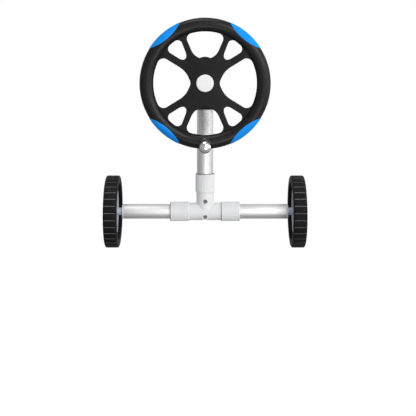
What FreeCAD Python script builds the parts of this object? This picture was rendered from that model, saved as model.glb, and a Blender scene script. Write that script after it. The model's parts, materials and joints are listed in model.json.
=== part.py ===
import FreeCAD, Part
import math
import os
from FreeCAD import Vector

# Telescopic cover reel, millimetres. X runs across the stands, +Y along the reel
# away from the handwheel, +Z up. The ground is z = 0 and the origin is the middle
# of the bounding box's underside.

# Reel
AXIS_HEIGHT = 462.0
STAND_SPACING = 3500.0
TUBE_DIA = 76.0
TUBE_WALL = 1.5
TUBE_LENGTH = 1900.0
TELESCOPE_GAP = 0.4
TUBE_COLLAR_WALL = 6.0
TUBE_COLLAR_GRIP = 45.0
TUBE_COLLAR_LIP = 14.0
PLUG_DEPTH = 52.0
PLUG_FLANGE = 8.0
PLUG_LIP = 4.0
SHAFT_DIA = 25.0

# Running fits and gaps between turning and fixed pieces
RUNNING_GAP = 0.05
END_GAP = 1.0

# Small bevel on turned and moulded edges
EDGE = 2.0

# Bearing housings and their flanged bushes
HOUSING_WIDTH = 64.0
HOUSING_DEPTH = 60.0
HOUSING_ABOVE = 72.0
HOUSING_BELOW = 75.0
HOUSING_CHAMFER = 4.0
SOCKET_DEPTH = 34.0
SNOUT_ROOT_DIA = 58.0
SNOUT_END_DIA = 48.0
DRIVE_SNOUT = 62.0
FAR_SNOUT = 6.0
BUSH_WALL = 3.5
BUSH_LENGTH = 22.0
BUSH_FLANGE = 3.0
BUSH_FLANGE_WALL = 7.0
END_CAP_DOME = 5.0

# Handwheel
HANDWHEEL_DIA = 350.0
HANDWHEEL_REACH = 133.0
RIM_WIDTH = 36.6
RIM_DEPTH = 27.0
RIM_FLATS = 12
WEB_THICKNESS = 6.0
LIP_WALL = 3.0
LIP_DEPTH = 7.0
HUB_DIA = 60.0
BADGE_DIA = 49.0
BADGE_THICKNESS = 2.4
BADGE_PROUD = 1.0
BADGE_RING = 3.0
HUB_BOLT_DIA = 8.0
HUB_BOLT_HEAD = 18.0
HUB_BOLT_HEAD_HEIGHT = 5.0
HUB_BOLT_LENGTH = 40.0
HUB_FLOOR = 16.0

# Gaps between the handwheel's spokes: the inner point's distance from the centre, each
# shoulder's distance outwards and sideways, and half the angle spanned at the rim
SIDE_GAP = (37.3, 52.7, 33.0, 31.9)
TOP_GAP = (62.0, 72.9, 29.9, 22.9)
CORNER_GAP = (79.0, 91.4, 10.4, 11.0)
CORNER_ANGLE = 50.5
GAP_ROUND = 20.0
GAP_TIP_ROUND = 13.0
CORNER_GAP_ROUND = 8.0

# Grip pads let into the rim's outer edge
GRIP_ANGLE = 49.8
GRIP_HALF_ANGLE = 18.5
GRIP_THICKNESS = 21.0

# Crank knob on the rim
KNOB_OFFSET = 160.0
KNOB_LENGTH = 115.0
KNOB_FOOT_DIA = 30.0
KNOB_STEM_DIA = 22.0
KNOB_HEAD_DIA = 31.0
KNOB_BEAD = 1.6
KNOB_DOME = 9.0
CAP_STEPS = 5
KNOB_POCKET = 11.0
KNOB_BOSS_DIA = 28.0
SPINDLE_DIA = 10.0
SPINDLE_HEAD_DIA = 16.0
SPINDLE_HEAD_HEIGHT = 4.0
NUT_ACROSS_FLATS = 16.0
NUT_HEIGHT = 7.0

# Stand tubes and their tee fittings
UPRIGHT_DIA = 46.0
CROSSBAR_DIA = 41.0
STAND_TUBE_WALL = 1.5
TEE_STEP = 1.3
TEE_REACH = 45.0
TEE_RISE = 54.0
TEE_WALL = 3.2
NECK_LENGTH = 6.0
SPIGOT_LENGTH = 38.0
NUT_COLLAR_STEP = 4.25
NUT_COLLAR_LENGTH = 52.0
RECESS_DIA = 13.0
RECESS_DEPTH = 4.0
SCREW_DIA = 5.0
SCREW_HEAD_DIA = 10.5
SCREW_HEAD_HEIGHT = 2.6
SCREW_LENGTH = 16.0
BRANCH_SCREW_RISE = 30.0
RUN_SCREW_DROP = 13.0

# Wheels
ROAD_WHEEL_DIA = 200.0
TYRE_WIDTH = 37.0
TYRE_SHOULDER = 3.0
LUGS = 32
LUG_GAP = 2.6
LUG_DEPTH = 4.5
WHEEL_DISC_DIA = 160.0
WHEEL_DISC_WALL = 4.0
WHEEL_BEAD = 5.0
WHEEL_BEAD_WIDTH = 17.0
WHEEL_BOSS_DIA = 34.0
WHEEL_BOSS_REACH = 15.0
WHEEL_SPACER_DIA = 21.0
WHEEL_SPACER_REACH = 24.0
WHEEL_RIBS = 8
WHEEL_RIB_WALL = 3.0
WHEEL_RIB_WIDTH = 16.0
WHEEL_INNER_FACE = 240.0
AXLE_DIA = 12.0
AXLE_BUSH_WALL = 2.5
AXLE_HEAD_DIA = 21.0
AXLE_HEAD_HEIGHT = 5.0
AXLE_GRIP = 30.0
WASHER_DIA = 21.0
WASHER_THICKNESS = 2.0
WHEEL_SIDE_GAP = 0.5
PLUG_BODY_LENGTH = 36.0
PLUG_HEAD = 4.0

# Far foot
FOOT_AXIS_HEIGHT = 28.0
FOOT_HALF_LENGTH = 190.0
FOOT_CAP_LENGTH = 52.0
FOOT_CAP_WALL = 5.5
FOOT_CAP_END = 5.0
FOOT_BASE_WIDTH = 50.0
FOOT_TOE_CHAMFER = 12.0

ORIGIN = Vector(0, 0, 0)
X_AXIS = Vector(1, 0, 0)
Y_AXIS = Vector(0, 1, 0)
Z_AXIS = Vector(0, 0, 1)

SHAFT_R = SHAFT_DIA / 2
BUSH_R = SHAFT_R + RUNNING_GAP + BUSH_WALL
SHAFT_CLEAR_R = SHAFT_R + BUSH_WALL / 2
HALF_HOUSING = HOUSING_DEPTH / 2
PLUG_FACE = HALF_HOUSING + BUSH_FLANGE + END_GAP
TUBE_START = PLUG_FACE + PLUG_FLANGE
RIM_INNER_R = HANDWHEEL_DIA / 2 - RIM_WIDTH
RIM_MID_R = HANDWHEEL_DIA / 2 - RIM_WIDTH / 2
RIM_PLANE = -HANDWHEEL_REACH + WEB_THICKNESS / 2
KNOB_SEAT = RIM_PLANE - RIM_DEPTH / 2 - END_GAP
KNOB_BASE = KNOB_SEAT - END_GAP / 2
KNOB_TIP = KNOB_BASE - KNOB_LENGTH
WHEEL_CENTRE = WHEEL_INNER_FACE + TYRE_WIDTH / 2
BOSS_OUTER_FACE = WHEEL_CENTRE + WHEEL_BOSS_REACH
PLUG_OUTER_FACE = WHEEL_CENTRE - WHEEL_SPACER_REACH - WHEEL_SIDE_GAP - WASHER_THICKNESS
FITTED_R = max(UPRIGHT_DIA, CROSSBAR_DIA) / 2
TEE_R = FITTED_R + TEE_STEP
NUT_COLLAR_R = FITTED_R + NUT_COLLAR_STEP
FAR_BACK = HALF_HOUSING + FAR_SNOUT + BUSH_FLANGE + END_CAP_DOME
NEAR_Y = -(STAND_SPACING + FAR_BACK + KNOB_TIP) / 2
FAR_Y = NEAR_Y + STAND_SPACING


def rod(radius, start, length, axis):
    return Part.makeCylinder(radius, length, start, axis)


def pipe(radius, wall, start, length, axis):
    return rod(radius, start, length, axis).cut(rod(radius - wall, start, length, axis))


def turned(profile, axis):
    """Solid of revolution about an axis through the origin, from (along, radius) points."""
    across = X_AXIS if axis == Z_AXIS else Z_AXIS
    points = [axis * along + across * radius for along, radius in profile]
    face = Part.Face(Part.makePolygon(points + points[:1]))
    return face.revolve(ORIGIN, axis, 360)


def around(shape, count, axis, first_angle=0.0):
    """Copies of a shape spaced evenly round an axis through the origin."""
    copies = []
    for index in range(count):
        copy = shape.copy()
        copy.rotate(ORIGIN, axis, first_angle + index * 360.0 / count)
        copies.append(copy)
    return copies


def moved(shape, x=0.0, y=0.0, z=0.0):
    copy = shape.copy()
    copy.translate(Vector(x, y, z))
    return copy


def facing(shape, side):
    """A piece modelled on the +X side, turned half way round Z for side -1."""
    copy = shape.copy()
    copy.rotate(ORIGIN, Z_AXIS, 90 - 90 * side)
    return copy


def edges_along(shape, axis):
    chosen = []
    for edge in shape.Edges:
        run = edge.Vertexes[-1].Point - edge.Vertexes[0].Point
        if run.Length > 0 and abs(run.normalize().dot(axis)) > 0.999:
            chosen.append(edge)
    return chosen


def round_corners(prism, radius, chosen):
    corners = sorted(edges_along(prism, Y_AXIS), key=lambda edge: edge.CenterOfMass.x)
    return prism.makeFillet(radius, corners[chosen])


def spoke_gap(gap, direction, rounding, tip_rounding, grow, depth):
    """Prism through the gap between two spokes, closed outside by the rim's circle."""
    apex, shoulder_out, shoulder_across, half_angle = gap
    spread = math.radians(half_angle)
    inner = Vector(apex, 0, 0)
    shoulder = Vector(shoulder_out, 0, shoulder_across)
    tip = Vector(RIM_INNER_R * math.cos(spread), 0, RIM_INNER_R * math.sin(spread))
    lower_tip = Vector(tip.x, 0, -tip.z)
    lower_shoulder = Vector(shoulder.x, 0, -shoulder.z)
    corners = [lower_tip, lower_shoulder, inner, shoulder, tip]
    edges = [Part.LineSegment(a, b).toShape() for a, b in zip(corners, corners[1:])]
    edges.append(Part.Arc(tip, Vector(RIM_INNER_R, 0, 0), lower_tip).toShape())
    outline = Part.Face(Part.Wire(edges))
    if grow:
        outline = outline.makeOffset2D(grow, 2)
    prism = outline.extrude(Y_AXIS * depth)
    prism = round_corners(prism, tip_rounding + grow, slice(-2, None))
    prism = round_corners(prism, rounding + grow, slice(0, 3))
    prism.rotate(ORIGIN, Y_AXIS, -direction)
    return prism


def spoke_gaps(grow, depth):
    """The eight gaps, grown sideways for the lips that stand round them."""
    large = (GAP_ROUND, GAP_TIP_ROUND, grow, depth)
    small = (CORNER_GAP_ROUND, CORNER_GAP_ROUND, grow, depth)
    gaps = [spoke_gap(SIDE_GAP, direction, *large) for direction in (0, 180)]
    gaps += [spoke_gap(TOP_GAP, direction, *large) for direction in (90, 270)]
    corners = (CORNER_ANGLE, 180 - CORNER_ANGLE, 180 + CORNER_ANGLE, -CORNER_ANGLE)
    return gaps + [spoke_gap(CORNER_GAP, direction, *small) for direction in corners]


def rim():
    """Rim of oval section, turned with narrow flats."""
    section = []
    for step in range(RIM_FLATS):
        angle = 2 * math.pi * step / RIM_FLATS
        along = RIM_PLANE + RIM_DEPTH / 2 * math.sin(angle)
        section.append((along, RIM_MID_R + RIM_WIDTH / 2 * math.cos(angle)))
    return turned(section, Y_AXIS)


def grip_cutter(direction):
    """Lens-shaped prism that takes a grip pad out of the rim's outer edge."""
    radius = HANDWHEEL_DIA / 2
    spread = math.radians(GRIP_HALF_ANGLE)
    start = RIM_PLANE - RIM_DEPTH
    upper = Vector(radius * math.cos(spread), start, radius * math.sin(spread))
    lower = Vector(upper.x, start, -upper.z)
    inner = Part.Arc(upper, Vector(radius - GRIP_THICKNESS, start, 0), lower)
    outer = Part.Arc(lower, Vector(radius + GRIP_THICKNESS, start, 0), upper)
    face = Part.Face(Part.Wire([inner.toShape(), outer.toShape()]))
    prism = face.extrude(Y_AXIS * 2 * RIM_DEPTH)
    prism.rotate(ORIGIN, Y_AXIS, -direction)
    return prism


def grip_directions():
    return (GRIP_ANGLE, 180 - GRIP_ANGLE, 180 + GRIP_ANGLE, -GRIP_ANGLE)


def handwheel():
    """Moulded wheel: flat web with lipped gaps, oval rim, hub and the knob's boss."""
    front = -HANDWHEEL_REACH
    back = front + WEB_THICKNESS
    hub_back = -(HALF_HOUSING + DRIVE_SNOUT + BUSH_FLANGE + END_GAP)
    web = rod(RIM_MID_R, Y_AXIS * front, WEB_THICKNESS, Y_AXIS)
    hub = rod(HUB_DIA / 2, Y_AXIS * front, hub_back - front, Y_AXIS)
    ring_r = BADGE_DIA / 2 + BADGE_RING
    ring = rod(ring_r, Y_AXIS * (front - BADGE_PROUD), WEB_THICKNESS, Y_AXIS)
    boss_start = Vector(0, KNOB_SEAT, -KNOB_OFFSET)
    boss = rod(KNOB_BOSS_DIA / 2, boss_start, RIM_DEPTH + 2 * END_GAP, Y_AXIS)
    lips = [moved(lip, y=back) for lip in spoke_gaps(LIP_WALL, LIP_DEPTH)]
    wheel = web.fuse([hub, ring] + lips)
    wheel = wheel.cut([moved(gap, y=front) for gap in spoke_gaps(0, WEB_THICKNESS + LIP_DEPTH)])
    wheel = wheel.fuse([rim(), boss])
    wheel = wheel.cut([grip_cutter(direction) for direction in grip_directions()])
    recess = rod(BADGE_DIA / 2, Y_AXIS * (front - BADGE_PROUD), BADGE_THICKNESS, Y_AXIS)
    pocket = rod(HUB_BOLT_HEAD / 2 + END_GAP, Y_AXIS * front, HUB_FLOOR - HUB_BOLT_HEAD_HEIGHT, Y_AXIS)
    bolt_hole = rod(HUB_BOLT_DIA / 2, Y_AXIS * front, HUB_FLOOR + SHAFT_DIA, Y_AXIS)
    shaft_hole = rod(SHAFT_R, Y_AXIS * (front + HUB_FLOOR), HANDWHEEL_REACH, Y_AXIS)
    spindle_hole = rod(SPINDLE_DIA / 2, boss_start, RIM_DEPTH + 2 * END_GAP, Y_AXIS)
    return wheel.cut([recess, pocket, bolt_hole, shaft_hole, spindle_hole])


def grip(direction):
    return rim().common(grip_cutter(direction))


def badge():
    front = -HANDWHEEL_REACH - BADGE_PROUD
    edge = BADGE_DIA / 2
    crown = [(front + BADGE_THICKNESS, 0), (front + BADGE_THICKNESS, edge), (front + BADGE_PROUD, edge)]
    crown += [(front, edge - BADGE_PROUD), (front, 0)]
    return turned(crown, Y_AXIS)


def hub_bolt():
    seat = -HANDWHEEL_REACH + HUB_FLOOR - HUB_BOLT_HEAD_HEIGHT
    head = rod(HUB_BOLT_HEAD / 2, Y_AXIS * (seat - HUB_BOLT_HEAD_HEIGHT), HUB_BOLT_HEAD_HEIGHT, Y_AXIS)
    return head.fuse(rod(HUB_BOLT_DIA / 2, Y_AXIS * seat, HUB_BOLT_LENGTH, Y_AXIS))


def drive_shaft():
    start = -HANDWHEEL_REACH + HUB_FLOOR
    end = PLUG_FACE + PLUG_DEPTH
    bolt_end = start - HUB_BOLT_HEAD_HEIGHT + HUB_BOLT_LENGTH
    shaft = rod(SHAFT_R, Y_AXIS * start, end - start, Y_AXIS)
    return shaft.cut(rod(HUB_BOLT_DIA / 2, Y_AXIS * start, bolt_end - start, Y_AXIS))


def knob_spindle():
    seat = KNOB_TIP + KNOB_DOME + KNOB_POCKET
    nut_back = KNOB_SEAT + RIM_DEPTH + 2 * END_GAP + NUT_HEIGHT
    head = rod(SPINDLE_HEAD_DIA / 2, Y_AXIS * (seat - END_GAP / 2 - SPINDLE_HEAD_HEIGHT),
               SPINDLE_HEAD_HEIGHT, Y_AXIS)
    shank = rod(SPINDLE_DIA / 2, Y_AXIS * (seat - END_GAP), nut_back - seat + END_GAP, Y_AXIS)
    return moved(head.fuse(shank), z=-KNOB_OFFSET)


def hexagon_nut(start, across_flats, height, bore):
    corner = across_flats / math.sqrt(3)
    points = [Vector(corner * math.cos(math.radians(angle)), start, corner * math.sin(math.radians(angle)))
              for angle in range(0, 360, 60)]
    body = Part.Face(Part.makePolygon(points + points[:1])).extrude(Y_AXIS * height)
    return body.cut(rod(bore, Y_AXIS * start, height, Y_AXIS))


def knob_nut():
    back = KNOB_SEAT + RIM_DEPTH + 2 * END_GAP
    return moved(hexagon_nut(back, NUT_ACROSS_FLATS, NUT_HEIGHT, SPINDLE_DIA / 2), z=-KNOB_OFFSET)


def knob_sleeve():
    """Turned grip that spins on its spindle: flanged foot, slim stem, flared mouth."""
    stem = KNOB_STEM_DIA / 2
    foot = KNOB_FOOT_DIA / 2
    mouth = KNOB_TIP + KNOB_DOME
    floor = mouth + KNOB_POCKET
    bore = SPINDLE_DIA / 2 + RUNNING_GAP
    pocket = SPINDLE_HEAD_DIA / 2 + END_GAP
    bead = 3 * KNOB_BEAD
    outline = [(mouth, pocket), (floor, pocket), (floor, bore), (KNOB_BASE, bore)]
    outline += [(KNOB_BASE, foot), (KNOB_BASE - KNOB_BEAD, foot), (KNOB_BASE - bead, stem)]
    outline += [(floor + KNOB_POCKET, stem), (mouth, KNOB_HEAD_DIA / 2 - KNOB_BEAD / 2)]
    return moved(turned(outline, Y_AXIS), z=-KNOB_OFFSET)


def knob_cap():
    """Domed end cap with a short skirt that presses into the sleeve's mouth."""
    mouth = KNOB_TIP + KNOB_DOME
    edge = KNOB_HEAD_DIA / 2
    skirt = SPINDLE_HEAD_DIA / 2 + END_GAP
    rise = KNOB_DOME - 2 * KNOB_BEAD
    outline = [(KNOB_TIP, 0), (mouth + KNOB_BEAD, 0), (mouth + KNOB_BEAD, skirt)]
    outline += [(mouth, skirt), (mouth, edge)]
    for step in range(CAP_STEPS):
        lean = math.pi / 2 * step / CAP_STEPS
        outline.append((KNOB_TIP + rise * (1 - math.sin(lean)), edge * math.cos(lean)))
    return moved(turned(outline, Y_AXIS), z=-KNOB_OFFSET)


def reel_plug(radius):
    """Moulded plug that carries a reel tube on its shaft."""
    end = PLUG_FACE + PLUG_DEPTH
    flange = radius + PLUG_LIP
    outline = [(PLUG_FACE, SHAFT_R), (PLUG_FACE, flange - EDGE), (PLUG_FACE + EDGE, flange)]
    outline += [(TUBE_START, flange), (TUBE_START, radius - TUBE_WALL), (end, radius - TUBE_WALL)]
    outline.append((end, SHAFT_R))
    return turned(outline, Y_AXIS)


def reel_tube(radius):
    return pipe(radius, TUBE_WALL, Y_AXIS * TUBE_START, TUBE_LENGTH, Y_AXIS)


def tube_collar():
    """Clamp collar on the outer tube's mouth, with a lip that guides the inner tube."""
    mouth = TUBE_START + TUBE_LENGTH
    radius = TUBE_DIA / 2
    outer = radius + TUBE_COLLAR_WALL
    outline = [(mouth - TUBE_COLLAR_GRIP, radius), (mouth, radius), (mouth, radius - TUBE_WALL)]
    outline += [(mouth + TUBE_COLLAR_LIP, radius - TUBE_WALL), (mouth + TUBE_COLLAR_LIP, outer - EDGE)]
    outline += [(mouth + TUBE_COLLAR_LIP - EDGE, outer), (mouth - TUBE_COLLAR_GRIP + EDGE, outer)]
    outline.append((mouth - TUBE_COLLAR_GRIP, outer - EDGE))
    return turned(outline, Y_AXIS)


def far_journal():
    end = PLUG_FACE + PLUG_DEPTH
    start = -(HALF_HOUSING + FAR_SNOUT)
    return rod(SHAFT_R, Y_AXIS * start, end - start, Y_AXIS)


def housing(snout):
    """Bearing head: arched block with a socket for its upright and a tapered snout."""
    half = HOUSING_WIDTH / 2
    shoulder = HOUSING_ABOVE - half
    start = -HALF_HOUSING
    corners = [Vector(half, start, shoulder), Vector(half, start, -HOUSING_BELOW)]
    corners += [Vector(-half, start, -HOUSING_BELOW), Vector(-half, start, shoulder)]
    edges = [Part.LineSegment(a, b).toShape() for a, b in zip(corners, corners[1:])]
    edges.append(Part.Arc(corners[-1], Vector(0, start, HOUSING_ABOVE), corners[0]).toShape())
    block = Part.Face(Part.Wire(edges)).extrude(Y_AXIS * HOUSING_DEPTH)
    front_and_back = [face for face in block.Faces if abs(face.CenterOfMass.y) > HALF_HOUSING - END_GAP]
    block = block.makeChamfer(HOUSING_CHAMFER, [edge for face in front_and_back for edge in face.Edges])
    snout_end = start - snout
    taper = [(start + HOUSING_CHAMFER, 0), (start + HOUSING_CHAMFER, SNOUT_ROOT_DIA / 2)]
    taper += [(start, SNOUT_ROOT_DIA / 2), (snout_end, SNOUT_END_DIA / 2), (snout_end, 0)]
    block = block.fuse(turned(taper, Y_AXIS))
    run = HOUSING_DEPTH + snout
    bore = rod(SHAFT_CLEAR_R, Y_AXIS * snout_end, run, Y_AXIS)
    front_seat = rod(BUSH_R, Y_AXIS * snout_end, BUSH_LENGTH, Y_AXIS)
    back_seat = rod(BUSH_R, Y_AXIS * (HALF_HOUSING - BUSH_LENGTH), BUSH_LENGTH, Y_AXIS)
    socket = rod(UPRIGHT_DIA / 2, Z_AXIS * -HOUSING_BELOW, SOCKET_DEPTH, Z_AXIS)
    screw_holes = [housing_screw(side) for side in (0, 180)]
    return block.cut([bore, front_seat, back_seat, socket] + screw_holes)


def bush(face, inward):
    """Flanged bearing bush whose flange sits on a face, its sleeve running inward."""
    bore = SHAFT_R + RUNNING_GAP
    outline = [(face - inward * BUSH_FLANGE, bore), (face + inward * BUSH_LENGTH, bore)]
    outline += [(face + inward * BUSH_LENGTH, BUSH_R), (face, BUSH_R)]
    outline += [(face, bore + BUSH_FLANGE_WALL), (face - inward * BUSH_FLANGE, bore + BUSH_FLANGE_WALL)]
    return turned(outline, Y_AXIS)


def bushes(snout):
    return (bush(-HALF_HOUSING - snout, 1), bush(HALF_HOUSING, -1))


def end_cap():
    """Dome that closes the far housing's outer bearing."""
    face = -(HALF_HOUSING + FAR_SNOUT)
    edge = SNOUT_END_DIA / 2
    inner = SHAFT_R + RUNNING_GAP + BUSH_FLANGE_WALL
    outer_face = face - BUSH_FLANGE
    outline = [(face, inner), (face, edge), (outer_face, edge), (outer_face - END_CAP_DOME, inner)]
    outline += [(outer_face - END_CAP_DOME, 0), (outer_face - END_GAP, 0), (outer_face - END_GAP, inner)]
    return turned(outline, Y_AXIS)


def screw():
    """Round-headed screw pointing along +Y, its head seated at y = 0."""
    head = SCREW_HEAD_DIA / 2
    shank = SCREW_DIA / 2
    outline = [(-SCREW_HEAD_HEIGHT, 0), (-SCREW_HEAD_HEIGHT, shank), (0, head), (0, shank)]
    outline += [(SCREW_LENGTH, shank), (SCREW_LENGTH, 0)]
    return turned(outline, Y_AXIS)


def housing_screw(side):
    """Cross screw that pins the housing's skirt to its upright."""
    pin = moved(screw(), y=-HOUSING_WIDTH / 2)
    pin.rotate(ORIGIN, Z_AXIS, 90 + side)
    return moved(pin, z=-HOUSING_BELOW + SOCKET_DEPTH / 2)


def housing_screws():
    return Part.makeCompound([housing_screw(side) for side in (0, 180)])


def tee_limb(reach, spigot, axis):
    """One limb of the tee: body, neck under the collar nut and spigot inside the tube."""
    neck = spigot + STAND_TUBE_WALL
    outline = [(0, 0), (0, TEE_R), (reach, TEE_R), (reach, neck), (reach + NECK_LENGTH, neck)]
    outline += [(reach + NECK_LENGTH, spigot), (reach + NECK_LENGTH + SPIGOT_LENGTH, spigot)]
    outline += [(reach + NECK_LENGTH + SPIGOT_LENGTH, 0)]
    return turned(outline, axis)


def limb_bore(reach, spigot, axis):
    return rod(spigot - TEE_WALL, ORIGIN, reach + NECK_LENGTH + SPIGOT_LENGTH, axis)


def tee():
    """Moulded tee fitting, centred on the crossing of the crossbar and the upright."""
    run_spigot = CROSSBAR_DIA / 2 - STAND_TUBE_WALL
    rise_spigot = UPRIGHT_DIA / 2 - STAND_TUBE_WALL
    limbs = [(TEE_REACH, run_spigot, X_AXIS), (TEE_REACH, run_spigot, X_AXIS * -1)]
    limbs.append((TEE_RISE, rise_spigot, Z_AXIS))
    body = tee_limb(*limbs[0]).fuse([tee_limb(*limb) for limb in limbs[1:]])
    body = body.cut([limb_bore(*limb) for limb in limbs])
    seat = -TEE_R + RECESS_DEPTH
    boss_r = RECESS_DIA / 2 + TEE_WALL / 2
    heights = (BRANCH_SCREW_RISE, -RUN_SCREW_DROP)
    bosses = [rod(boss_r, Vector(0, -TEE_R, z), 2 * RECESS_DEPTH, Y_AXIS) for z in heights]
    body = body.fuse(bosses)
    recesses = [rod(RECESS_DIA / 2, Vector(0, -TEE_R, z), RECESS_DEPTH, Y_AXIS) for z in heights]
    holes = [rod(SCREW_DIA / 2, Vector(0, seat, z), SCREW_LENGTH, Y_AXIS) for z in heights]
    return body.cut(recesses + holes)


def tee_screws():
    seat = -TEE_R + RECESS_DEPTH
    heights = (BRANCH_SCREW_RISE, -RUN_SCREW_DROP)
    return Part.makeCompound([moved(screw(), y=seat, z=z) for z in heights])


def nut_collar(tube_dia, reach, axis):
    """Collar nut over the joint between a tube and the tee."""
    bore = tube_dia / 2
    bevelled = NUT_COLLAR_R - EDGE
    end = reach + NUT_COLLAR_LENGTH
    outline = [(reach, bore), (reach, bevelled), (reach + EDGE, NUT_COLLAR_R)]
    outline += [(end - EDGE, NUT_COLLAR_R), (end, bevelled), (end, bore)]
    return turned(outline, axis)


def collars():
    left = nut_collar(CROSSBAR_DIA, TEE_REACH, X_AXIS * -1)
    right = nut_collar(CROSSBAR_DIA, TEE_REACH, X_AXIS)
    top = nut_collar(UPRIGHT_DIA, TEE_RISE, Z_AXIS)
    return left, right, top


def crossbar(end, side):
    start = TEE_REACH + NECK_LENGTH
    axis = X_AXIS * side
    return pipe(CROSSBAR_DIA / 2, STAND_TUBE_WALL, axis * start, end - start, axis)


def upright(foot_height):
    start = foot_height + TEE_RISE + NECK_LENGTH
    end = AXIS_HEIGHT - HOUSING_BELOW + SOCKET_DEPTH
    tube = pipe(UPRIGHT_DIA / 2, STAND_TUBE_WALL, Z_AXIS * start, end - start, Z_AXIS)
    return tube.cut([moved(housing_screw(side), z=AXIS_HEIGHT) for side in (0, 180)])


def axle_plug(side):
    """End plug of the crossbar: a head over the tube's mouth and a bored body inside it."""
    bore = AXLE_DIA / 2
    inside = CROSSBAR_DIA / 2 - STAND_TUBE_WALL
    mouth = PLUG_OUTER_FACE - PLUG_HEAD
    outline = [(mouth - PLUG_BODY_LENGTH, bore), (PLUG_OUTER_FACE, bore)]
    outline += [(PLUG_OUTER_FACE, CROSSBAR_DIA / 2 - EDGE), (PLUG_OUTER_FACE - EDGE, CROSSBAR_DIA / 2)]
    outline += [(mouth, CROSSBAR_DIA / 2), (mouth, inside), (mouth - PLUG_BODY_LENGTH, inside)]
    return turned(outline, X_AXIS * side)


def axle_bolt(side):
    seat = BOSS_OUTER_FACE + WHEEL_SIDE_GAP
    tail = PLUG_OUTER_FACE - AXLE_GRIP
    head = AXLE_HEAD_DIA / 2
    outline = [(tail, 0), (tail, AXLE_DIA / 2), (seat, AXLE_DIA / 2), (seat, head)]
    outline += [(seat + AXLE_HEAD_HEIGHT - EDGE, head), (seat + AXLE_HEAD_HEIGHT, head - EDGE)]
    outline += [(seat + AXLE_HEAD_HEIGHT, 0)]
    return turned(outline, X_AXIS * side)


def washer(side):
    start = X_AXIS * side * PLUG_OUTER_FACE
    return pipe(WASHER_DIA / 2, (WASHER_DIA - AXLE_DIA) / 2, start, WASHER_THICKNESS, X_AXIS * side)


def tyre():
    """Solid tyre with chamfered shoulders and square lugs, centred on the origin."""
    outer = ROAD_WHEEL_DIA / 2
    half = TYRE_WIDTH / 2
    seat = WHEEL_DISC_DIA / 2
    outline = [(-half, seat), (-half, outer - TYRE_SHOULDER), (-half + TYRE_SHOULDER, outer)]
    outline += [(half - TYRE_SHOULDER, outer), (half, outer - TYRE_SHOULDER), (half, seat)]
    body = turned(outline, X_AXIS)
    groove = Part.makeBox(2 * TYRE_WIDTH, LUG_GAP, 2 * LUG_DEPTH,
                          Vector(-TYRE_WIDTH, -LUG_GAP / 2, outer - LUG_DEPTH))
    return body.cut(around(groove, LUGS, X_AXIS, 180.0 / LUGS))


def wheel_disc():
    """Moulded wheel: beaded rim, thin ribbed disc, boss, and a slim spacer towards -X."""
    rim_r = WHEEL_DISC_DIA / 2
    bead_r = rim_r - WHEEL_BEAD
    boss_r = WHEEL_BOSS_DIA / 2
    spacer_r = WHEEL_SPACER_DIA / 2
    bore = AXLE_DIA / 2 + RUNNING_GAP + AXLE_BUSH_WALL
    half_bead = WHEEL_BEAD_WIDTH / 2
    half_wall = WHEEL_DISC_WALL / 2
    outline = [(-WHEEL_SPACER_REACH, bore), (-WHEEL_SPACER_REACH, spacer_r), (-half_bead, spacer_r)]
    outline += [(-half_bead, boss_r), (-half_wall, boss_r), (-half_wall, bead_r), (-half_bead, bead_r)]
    outline += [(-half_bead, rim_r), (half_bead, rim_r), (half_bead, bead_r), (half_wall, bead_r)]
    outline += [(half_wall, boss_r), (WHEEL_BOSS_REACH, boss_r), (WHEEL_BOSS_REACH, bore)]
    disc = turned(outline, X_AXIS)
    length = rim_r - WHEEL_BEAD / 2 - bore - AXLE_BUSH_WALL
    rib = Part.makeBox(WHEEL_RIB_WIDTH, WHEEL_RIB_WALL, length,
                       Vector(-WHEEL_RIB_WIDTH / 2, -WHEEL_RIB_WALL / 2, bore + AXLE_BUSH_WALL))
    return disc.fuse(around(rib, WHEEL_RIBS, X_AXIS))


def axle_bush():
    bore = AXLE_DIA / 2 + RUNNING_GAP
    start = X_AXIS * -WHEEL_SPACER_REACH
    length = WHEEL_SPACER_REACH + WHEEL_BOSS_REACH
    return pipe(bore + AXLE_BUSH_WALL, AXLE_BUSH_WALL, start, length, X_AXIS)


def foot_cap(side):
    """Rubber cap over the far crossbar's end, flat underneath so that it stands."""
    outer = CROSSBAR_DIA / 2 + FOOT_CAP_WALL
    inner_end = FOOT_HALF_LENGTH - FOOT_CAP_LENGTH
    half = FOOT_BASE_WIDTH / 2
    round_part = rod(outer, X_AXIS * inner_end, FOOT_CAP_LENGTH, X_AXIS)
    base = Part.makeBox(FOOT_CAP_LENGTH, 2 * half, FOOT_AXIS_HEIGHT,
                        Vector(inner_end, -half, -FOOT_AXIS_HEIGHT))
    cap = base.fuse(round_part)
    ground = Part.makeBox(2 * FOOT_HALF_LENGTH, 4 * outer, outer,
                          Vector(0, -2 * outer, -FOOT_AXIS_HEIGHT - outer))
    corner = Vector(FOOT_HALF_LENGTH, -2 * outer, -FOOT_AXIS_HEIGHT)
    above = corner + Z_AXIS * FOOT_TOE_CHAMFER
    inboard = corner - X_AXIS * FOOT_TOE_CHAMFER
    toe = Part.Face(Part.makePolygon([corner, above, inboard, corner])).extrude(Y_AXIS * 4 * outer)
    socket = rod(CROSSBAR_DIA / 2, X_AXIS * inner_end, FOOT_CAP_LENGTH - FOOT_CAP_END, X_AXIS)
    return facing(cap.cut([ground, toe, socket]), side)


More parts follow.
